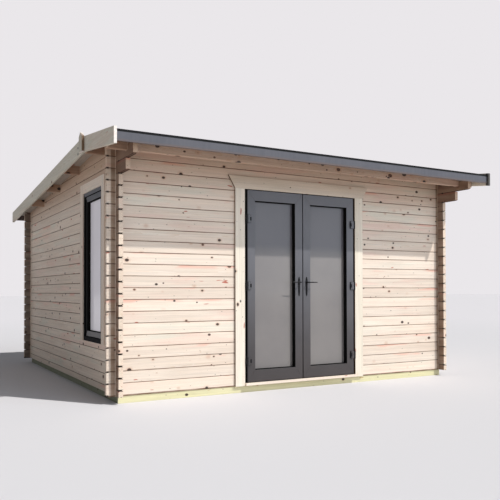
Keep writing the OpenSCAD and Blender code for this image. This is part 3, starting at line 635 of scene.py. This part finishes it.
def mitred(bm, outer, hole, y0, y1, ease=0.0015, reveal=None):
    """Four bars round a hole, cut at the line from outer to inner corner. Both are x0, x1, z0, z1.
    The paints are 0 upright and 1 level. The hole's own faces take the paint "reveal"."""
    x0, x1, z0, z1 = outer
    u0, u1, w0, w1 = hole
    corners = [(Vector((x, 0, z)), Vector((u, 0, w)))
        for z, w in ((z0, w0), (z1, w1)) for x, u in ((x0, u0), (x1, u1))]
    bars = (((x0, u0, z0, z1), 0), ((u1, x1, z0, z1), 0), ((x0, x1, z0, w0), 1), ((x0, x1, w1, z1), 1))
    for (a0, a1, c0, c1), paint in bars:
        part = block((a0, y0, c0), (a1, y1, c1))
        middle = Vector(((a0 + a1) / 2, 0, (c0 + c1) / 2))
        for start, end in corners:
            if not (a0 - 1e-6 <= start.x <= a1 + 1e-6 and c0 - 1e-6 <= start.z <= c1 + 1e-6):
                continue
            run = (end - start).normalized()
            out = Vector((run.z, 0, -run.x))
            if out.dot(middle - start) > 0:
                out = -out
            cut = bmesh.ops.bisect_plane(part, geom=part.verts[:] + part.edges[:] + part.faces[:],
                plane_co=start, plane_no=out, clear_outer=True)
            rim = [e for e in cut["geom_cut"] if isinstance(e, bmesh.types.BMEdge)]
            bmesh.ops.contextual_create(part, geom=rim)
        bmesh.ops.dissolve_degenerate(part, dist=1e-5, edges=part.edges[:])
        bmesh.ops.bevel(part, geom=part.edges[:], offset=ease, segments=2, profile=0.5,
            affect="EDGES", material=-1)
        join(bm, part, paint)
    if reveal is not None:
        for face in bm.faces:
            c = face.calc_center_median()
            within = u0 - 0.003 < c.x < u1 + 0.003 and w0 - 0.003 < c.z < w1 + 0.003
            at_edge = min(abs(c.x - u0), abs(c.x - u1), abs(c.z - w0), abs(c.z - w1)) < 0.0008
            if abs(face.normal.y) < 0.5 and within and at_edge:
                face.material_index = reveal


# The door frame: jambs, head and threshold, 70 mm deep, with a stop behind the leaves. It is
# painted black, as the shade in the gap round the leaves.
leaf_low, leaf_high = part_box("right_door_leaf")
leaf_gap, stop, low_stop = 0.006, 0.015, 0.0075
outline = (door_frame_low.x, door_frame_high.x, door_frame_low.z, door_frame_high.z)
bm = bmesh.new()
mitred(bm, outline, (-leaf_high.x - leaf_gap, leaf_high.x + leaf_gap, leaf_low.z - leaf_gap,
    leaf_high.z + leaf_gap), door_frame_low.y, leaf_high.y + leaf_gap)
mitred(bm, outline, (-leaf_high.x + stop, leaf_high.x - stop, leaf_low.z + low_stop,
    leaf_high.z - stop), leaf_high.y + leaf_gap, door_frame_high.y)
piece("door_frame_bars", bm, "cabin", [inner_frame, inner_frame], ["door_frame"])

# The leaves: stiles of 97 mm, top rail of 112 mm and bottom rail of 125 mm, 70 mm thick, each with
# a deep reveal in front of its glass, black as its gasket and as painted shade, and a seal round the
# edge of the pane on both sides.
pane_gap, seal_deep = 0.0003, 0.006
for name in ("left", "right"):
    body = f"{name}_door"
    low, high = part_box(f"{name}_door_leaf")
    pane_low, pane_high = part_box(f"{name}_door_glass")
    hole = (pane_low.x - pane_gap, pane_high.x + pane_gap, pane_low.z - pane_gap, pane_high.z + pane_gap)
    bm = bmesh.new()
    mitred(bm, (low.x, high.x, low.z, high.z), hole, low.y, high.y, 0.002, 2)
    piece(f"{name}_leaf_bars", bm, body, [foil_upright, foil_level, seal],
        [f"{name}_door_leaf"])
    bm = bmesh.new()
    for y0, y1, w in ((pane_low.y - seal_deep, pane_low.y, 0.006),
            (pane_high.y, pane_high.y + seal_deep, 0.012)):
        mitred(bm, hole, (hole[0] + w, hole[1] - w, hole[2] + w, hole[3] - w), y0, y1, 0.001)
    piece(f"{name}_pane_seal", bm, body, [seal, seal])


# ---- Door glass ----
# Sealed double glazing with satin etched panes, which hide the room and keep a sheen on the outer
# face. Each is held in its leaf by the seals.


def satin_glass(name, low, high, painted_glow, tint):
    """Etched glass between two tones, with an even painted glow that stands in for reflected light.
    tint paints it bluer and darker from head height up, as shade under the eaves."""
    made, place, shader = finish_of(name, coat=0.6, coat_rough=0.09, ior=1.52)
    etched = place.noise(place, 850, 2)
    haze = place.noise(place, 1.7, 3)
    colour = haze.ease(0.3, 0.7).blend(low, high)
    upper_shade = place.parts()[Z].ease(1.42, 1.60) * tint
    colour = upper_shade.blend(colour, (0.50, 0.52, 0.62), "MULTIPLY")
    shader.inputs["Emission Color"].default_value = (*painted_glow, 1)
    shader.inputs["Emission Strength"].default_value = 1.0
    feed(place, shader, colour, 0.42 + etched * 0.12, etched, 0.0001, 0.25)
    return made


door_pane = satin_glass("satin_door_glass", (0.165, 0.150, 0.145), (0.195, 0.178, 0.168), (0, 0, 0), 1)
coat("left_door_glass", door_pane)
coat("right_door_glass", door_pane)


# ---- Hinges ----
# Three flag hinges a leaf: a plate screwed to the leaf's face, a steel knuckle on its edge, and a
# lower knuckle with the pin on the frame. The plates have a grey cover, and the rest is black.
black, place, shader = finish_of("black_furniture", coat=0.12, coat_rough=0.2, ior=1.25)
cast = place.noise(place, 260, 3)
wear = place.noise(place, 40, 3)
colour = wear.ease(0.45, 0.8).blend((0.004, 0.004, 0.005), (0.016, 0.016, 0.018))
feed(place, shader, colour, 0.34 + cast * 0.2, cast, 0.0002, 0.25)

# Depths are measured from the leaf's outer face, and heights from the gap between the knuckles.
hinge_heights = (0.330, 1.130, 1.840)
face_out, face_in = leaf_low.y, leaf_high.y
hinge_x, hinge_y, barrel = 0.722, face_out - 0.009, 0.008


def rod(at, radius, length, ease=0.001, axis=(0, 0, 1)):
    """A round bar from a point along an axis, with rounded ends."""
    part = bmesh.new()
    bmesh.ops.create_cone(part, cap_ends=True, segments=20, radius1=radius, radius2=radius,
        depth=length)
    rims = [e for e in part.edges if abs(e.verts[0].co.z - e.verts[1].co.z) < 1e-6]
    bmesh.ops.bevel(part, geom=rims, offset=ease, segments=2, profile=0.5, affect="EDGES", material=-1)
    axis = Vector(axis)
    turn = Vector((0, 0, 1)).rotation_difference(axis).to_matrix().to_4x4()
    move = Matrix.Translation(Vector(at) + axis * (length / 2))
    bmesh.ops.transform(part, matrix=move @ turn, verts=part.verts)
    return part


fixed = bmesh.new()
for side, name in ((-1, "left"), (1, "right")):
    turning = bmesh.new()
    for z in hinge_heights:
        # The black plate and the grey cover over it, with a black catch at the cover's inner edge.
        x0, x1 = sorted((side * (hinge_x - 0.058), side * (hinge_x - 0.0095)))
        join(turning, block((x0, face_out - 0.0110, z - 0.044), (x1, face_out - 0.0003, z + 0.044), 0.0015))
        join(turning, block((x0 + 0.002, face_out - 0.0125, z - 0.042),
            (x1 - 0.002, face_out - 0.0105, z + 0.042), 0.0008), 1)
        x0, x1 = sorted((side * (hinge_x - 0.060), side * (hinge_x - 0.042)))
        join(turning, block((x0, face_out - 0.0145, z - 0.020), (x1, face_out - 0.0120, z + 0.020), 0.0008))

        # The arm to the upper knuckle, the knuckle and the screws.
        x0, x1 = sorted((side * (hinge_x - 0.012), side * hinge_x))
        join(turning, block((x0, face_out - 0.0055, z + 0.002), (x1, face_out - 0.0005, z + 0.042), 0.0008))
        join(turning, rod((side * hinge_x, hinge_y, z + 0.0003), barrel, 0.044))
        for dx, dz in ((0.046, 0.032), (0.046, -0.032), (0.022, 0.0)):
            at = (side * (hinge_x - dx), face_out - 0.0127, z + dz)
            screw_head(turning, at, (0, -1, 0), 0.0034)

        # On the frame: the lower knuckle, the pin's head, and the tongue that holds them.
        join(fixed, rod((side * hinge_x, hinge_y, z - 0.045), barrel, 0.0448))
        join(fixed, rod((side * hinge_x, hinge_y, z + 0.0445), 0.0052, 0.0035))
        x0, x1 = side * hinge_x - 0.002, side * hinge_x + 0.002
        join(fixed, block((x0, hinge_y, z - 0.044), (x1, door_frame_low.y - 0.0003, z - 0.006), 0.0006))
    piece(f"{name}_hinge_plates", turning, f"{name}_door", [black, foil_upright],
        [f"{name}_door_hinges"])
piece("hinge_pins", fixed, "cabin", [black], ["door_hinge_pins"])


# ---- Handles ----
# Black cast lever handles on long plates that narrow to a point at both ends. Each plate has a lock
# cylinder under the lever, and the lever is a slender bar on a round neck.
spindle_x, spindle_z = 0.050, 1.168
key_z, cylinder, pommel = spindle_z - 0.092, 0.0068, 0.0045

# Heights from the spindle, with the plate's half width at each.
plate_steps = ((0.060, 0.0012), (0.046, 0.0055), (0.030, 0.0095), (0.012, 0.0118), (0.0, 0.0125),
    (-0.012, 0.0118), (-0.040, 0.0095), (-0.080, 0.0098), (-0.110, 0.0088), (-0.135, 0.0058),
    (-0.152, 0.0012))

# The lever's way from the spindle: sideways, out of the face, half its height and half its depth.
lever_steps = ((0.0, 0.042, 0.0068, 0.0068), (0.0, 0.044, 0.0074, 0.0072), (0.004, 0.0495, 0.0074, 0.007),
    (0.013, 0.0515, 0.0068, 0.0062), (0.040, 0.0520, 0.0060, 0.0050), (0.075, 0.0515, 0.0056, 0.0044),
    (0.102, 0.0500, 0.0052, 0.0040), (0.113, 0.0485, 0.0046, 0.0036), (0.1172, 0.0478, 0.0026, 0.0020))

for side, name in ((-1, "left"), (1, "right")):
    plates, lever = bmesh.new(), bmesh.new()
    for face, out in ((face_out, -1), (face_in, 1)):
        # The plate: a strip widened step by step, raised from the leaf and rounded at the front.
        part = bmesh.new()
        last = len(plate_steps) - 1
        for vert in bmesh.ops.create_grid(part, x_segments=1, y_segments=last, size=1)["verts"]:
            height, half = plate_steps[round((vert.co.y + 1) / 2 * last)]
            vert.co = (side * spindle_x + vert.co.x * half, face + out * 0.0003, spindle_z + height)
        back = bmesh.ops.dissolve_faces(part, faces=part.faces[:])["region"]
        front = bmesh.ops.extrude_face_region(part, geom=back)
        raised = [v for v in front["geom"] if isinstance(v, bmesh.types.BMVert)]
        bmesh.ops.translate(part, vec=(0, out * 0.0075, 0), verts=raised)
        rims = [e for e in part.edges if all(v in raised for v in e.verts)]
        bmesh.ops.bevel(part, geom=rims, offset=0.0022, segments=3, profile=0.5, affect="EDGES",
            material=-1)
        join(plates, part)

        # The lock cylinder with its keyway, the two screws and the collar round the spindle.
        for dz, r in ((0.0, cylinder), (-0.012, pommel)):
            join(plates, rod((side * spindle_x, face + out * 0.006, key_z + dz), r, 0.0035, 0.0006,
                axis=(0, out, 0)))
        join(plates, block((side * spindle_x - 0.0007, face + out * 0.0085 - 0.0012, key_z - 0.004),
            (side * spindle_x + 0.0007, face + out * 0.0085 + 0.0014, key_z + 0.004)), 2)
        for dz in (0.036, -0.132):
            screw_head(plates, (side * spindle_x, face + out * 0.0078, spindle_z + dz), (0, out, 0), 0.003)
        join(plates, rod((side * spindle_x, face + out * 0.0075, spindle_z), 0.0105, 0.005, 0.0012,
            axis=(0, out, 0)))

        # The lever: a neck, then an elbow and a bar that narrows towards its tip.
        join(lever, rod((side * spindle_x, face + out * 0.010, spindle_z), 0.0062, 0.034, 0.0005,
            axis=(0, out, 0)))
        part = bmesh.new()
        rings = []
        for i, (dx, dy, tall, deep) in enumerate(lever_steps):
            ahead = lever_steps[min(i + 1, len(lever_steps) - 1)]
            behind = lever_steps[max(i - 1, 0)]
            heading = Vector((side * (ahead[0] - behind[0]), out * (ahead[1] - behind[1]), 0)).normalized()
            made = bmesh.ops.create_circle(part, segments=14, radius=1)["verts"]
            sideways = heading.cross(Vector((0, 0, 1)))
            turn = Matrix((sideways, Vector((0, 0, 1)), heading)).transposed().to_4x4()
            size = Matrix.Diagonal((deep, tall, 1, 1))
            at = Matrix.Translation((side * (spindle_x + dx), face + out * dy, spindle_z))
            bmesh.ops.transform(part, matrix=at @ turn @ size, verts=made)
            rings.append({e for v in made for e in v.link_edges})
        for first, second in zip(rings, rings[1:]):
            bmesh.ops.bridge_loops(part, edges=list(first | second))
        bmesh.ops.holes_fill(part, edges=[e for e in part.edges if e.is_boundary])
        join(lever, part)
    for mesh in (plates, lever):
        for f in mesh.faces:
            f.smooth = True
    piece(f"{name}_handle", plates, f"{name}_door", [black, zinc, seal],
        [f"{name}_handle_plates"])
    piece(f"{name}_lever_bar", lever, f"{name}_lever", [black], [f"{name}_lever"])


# ---- Door trim and sill ----
# Planed spruce boards of 115 by 20 mm, pinned over the gap beside the door frame, under a head
# board of 133 mm whose ends are cut to a slope. The sill under the leaves is a narrow board.
trim_low, trim_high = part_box("door_trim")
head_low = trim_high.z - 0.133
post_in, post_out = 0.735, 0.850
post_span = post_in + post_out
# The sloped ends of the head board are painted dark, as their shade.
head_tones_shaded_ends = {**PALE, "end": (0.25, 0.18, 0.13)}
# The posts' sides are painted dark, as their shade.
post_wood = timber("spruce_door_posts", Z, X, -post_span, post_span, -1.955, 0, tones=PALE, seed=151,
    cell=0.13, side_shade=1.0)
head_wood = timber("spruce_head_board", X, Z, 2.0, 0.4, -1.955, 0, tones=head_tones_shaded_ends, seed=157,
    cell=0.13, eave_shade=0.9)
bm = bmesh.new()
for side in (-1, 1):
    x0, x1 = sorted((side * post_in, side * post_out))
    join(bm, block((x0, trim_low.y, trim_low.z), (x1, trim_high.y, head_low - 0.0003), 0.002))

# The head board is as wide as the posts below, and its ends slope out to its full width on top.
part = block((-1, trim_low.y, head_low), (1, trim_high.y, trim_high.z))
for vert in part.verts:
    wide = trim_high.x if vert.co.z > head_low + 0.01 else post_out
    vert.co.x *= wide
bmesh.ops.bevel(part, geom=part.edges[:], offset=0.002, segments=2, profile=0.5, affect="EDGES",
    material=-1)
join(bm, part, 1)
piece("door_trim_boards", bm, "cabin", [post_wood, head_wood], ["door_trim"])

bm = bmesh.new()
pin, pin_inset, first_pin, pin_spacing = 0.003, 0.022, 0.17, 0.37
for side in (-1, 1):
    for i in range(6):
        for x in (post_in + pin_inset, post_out - pin_inset):
            screw_head(bm, (side * x, trim_low.y, first_pin + i * pin_spacing), (0, -1, 0), pin)
for x in (-0.80, 0.0, 0.80):
    screw_head(bm, (x, trim_low.y, head_low + 0.066), (0, -1, 0), pin)
piece("door_trim_pins", bm, "cabin", [zinc])

coat("door_sill", timber("spruce_sill", X, Z, 0, 0.2, -1.97, 0, seed=163, cell=0.2))
soften("door_sill", 0.003)


# ---- Window ----
# A tall fixed light in the left wall, in the same profiles as the doors: a frame of 48 mm, a sash
# of 58 mm set back in it, satin glass, and planed spruce boards of 100 mm beside and over it.
win_low, win_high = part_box("window_frame")
sash_low, sash_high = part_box("window_sash")
glass_low, glass_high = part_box("window_glass")


def to_left_wall(bm):
    """Turns a mesh drawn with its depth along Y and its length along X to face -X."""
    swap = Matrix(((0, 1, 0, 0), (1, 0, 0, 0), (0, 0, 1, 0), (0, 0, 0, 1)))
    bmesh.ops.transform(bm, matrix=swap, verts=bm.verts)
    bmesh.ops.reverse_faces(bm, faces=bm.faces)
    return bm


def inset(outline, width):
    """An outline drawn in by a width on all sides."""
    y0, y1, z0, z1 = outline
    return y0 + width, y1 - width, z0 + width, z1 - width


# The frame and the stop behind the sash. The upright bars and the bottom bar are painted black,
# as shade, and the other level bars are grey.
frame_w, stop_w, stop_deep = 0.0477, 0.067, 0.015
foil_side = foil("foil_side", Y)
outline = (win_low.y, win_high.y, win_low.z, win_high.z)
bm = bmesh.new()
mitred(bm, outline, inset(outline, frame_w), win_low.x, win_high.x - stop_deep - 0.0002, 0.0015, 2)
mitred(bm, outline, inset(outline, stop_w), win_high.x - stop_deep, win_high.x, 0.0015)
for face in bm.faces:
    if face.calc_center_median().z < win_low.z + frame_w + 0.001:
        face.material_index = 0
piece("window_frame_bars", to_left_wall(bm), "cabin", [inner_frame, foil_side, seal],
    ["window_frame"])

# The sash, with its pane and the seal round the pane.
# Its upright bars are painted black, as shade.
bm = bmesh.new()
hole = inset((glass_low.y, glass_high.y, glass_low.z, glass_high.z), -pane_gap)
mitred(bm, (sash_low.y, sash_high.y, sash_low.z, sash_high.z), hole, sash_low.x, sash_high.x, 0.0015, 2)
piece("window_sash_bars", to_left_wall(bm), "cabin", [inner_frame, foil_side, seal],
    ["window_sash"])
# The window pane's pale colour and its glow are painted reflection of the bright backdrop.
coat("window_glass", satin_glass("satin_window_glass", (0.70, 0.67, 0.71), (0.76, 0.73, 0.77),
    (0.15, 0.142, 0.15), 0))
bm = bmesh.new()
mitred(bm, hole, inset(hole, seal_deep), glass_low.x - seal_deep, glass_low.x, 0.001)
piece("window_pane_seal", to_left_wall(bm), "cabin", [seal, seal])

# The boards: two uprights with the head board between them, each pinned five times.
board_low, board_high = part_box("window_trim")
board_w, butt = 0.100, 0.0003
in_low, in_high = board_low.y + board_w, board_high.y - board_w
bm = bmesh.new()
join(bm, block(board_low, (board_high.x, in_low, board_high.z), 0.002))
join(bm, block((board_low.x, in_high, board_low.z), board_high, 0.002))
join(bm, block((board_low.x, in_low + butt, board_high.z - board_w),
    (board_high.x, in_high - butt, board_high.z), 0.002), 1)
spacing = in_high - board_low.y
piece("window_trim_boards", bm, "cabin", [
    timber("spruce_window_posts", Z, Y, board_low.y + board_w / 2 - spacing / 2, spacing, -2.155, 0,
        seed=181, cell=0.14),
    timber("spruce_window_head", Y, Z, 2.0, 0.4, -2.155, 0, seed=187, cell=0.15)], ["window_trim"])
bm = bmesh.new()
for y in (board_low.y + board_w / 2, board_high.y - board_w / 2):
    for i in range(5):
        screw_head(bm, (board_low.x, y, board_low.z + 0.08 + i * 0.385), (-1, 0, 0), pin)
piece("window_trim_pins", bm, "cabin", [zinc])


# ---- Studio ----
# A pale matt floor that fades into a plain pale backdrop, a key light high in front on the right,
# and a broad cool fill light in front.
paint, place, shader = finish_of("studio_floor")
away = place.node("VectorMath", {"operation": "LENGTH"}, {0: place}, "Value")
tone = away.ease(6, 20).blend((0.684, 0.671, 0.689), (0.724, 0.703, 0.724))
place.tree.links.new(tone.socket, shader.inputs["Base Color"])
shader.inputs["Roughness"].default_value = 0.9
shader.inputs["Specular IOR Level"].default_value = 0.1
bm = bmesh.new()
bmesh.ops.create_grid(bm, x_segments=1, y_segments=1, size=150)
mesh = bpy.data.meshes.new("floor")
bm.to_mesh(mesh)
bm.free()
mesh.materials.append(paint)
floor = bpy.data.objects.new("studio_ground", mesh)
bpy.context.scene.collection.objects.link(floor)
floor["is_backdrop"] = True

for name, energy, spread, colour, towards in (
        ("key", 3.20, 0.9, (1.0, 0.985, 0.955), (0.380, -0.515, 0.768)),
        ("front_fill", 1.78, 70, (0.84, 0.91, 1.0), (0.55, -0.80, 0.22))):
    lamp = bpy.data.objects.new(name, bpy.data.lights.new(name, "SUN"))
    lamp.data.energy = energy
    lamp.data.angle = math.radians(spread)
    lamp.data.color = colour
    lamp.rotation_euler = Vector(towards).to_track_quat("Z", "Y").to_euler()
    bpy.context.scene.collection.objects.link(lamp)

# The camera sees the world as a pale backdrop, and the object is lit by a dimmer, cooler one.
world = bpy.data.worlds.new("studio")
bpy.context.scene.world = world
world.use_nodes = True
sky = world.node_tree.nodes["Background"]
air = Wire(world.node_tree)
seen = air.node("LightPath", {}, {}, "Is Camera Ray")
tone = seen.blend((0.20, 0.208, 0.222), (0.823, 0.799, 0.823))
world.node_tree.links.new(tone.socket, sky.inputs["Color"])
bpy.context.scene.view_settings.view_transform = "Standard"
bpy.context.scene.cycles.max_bounces = 6

low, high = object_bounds()
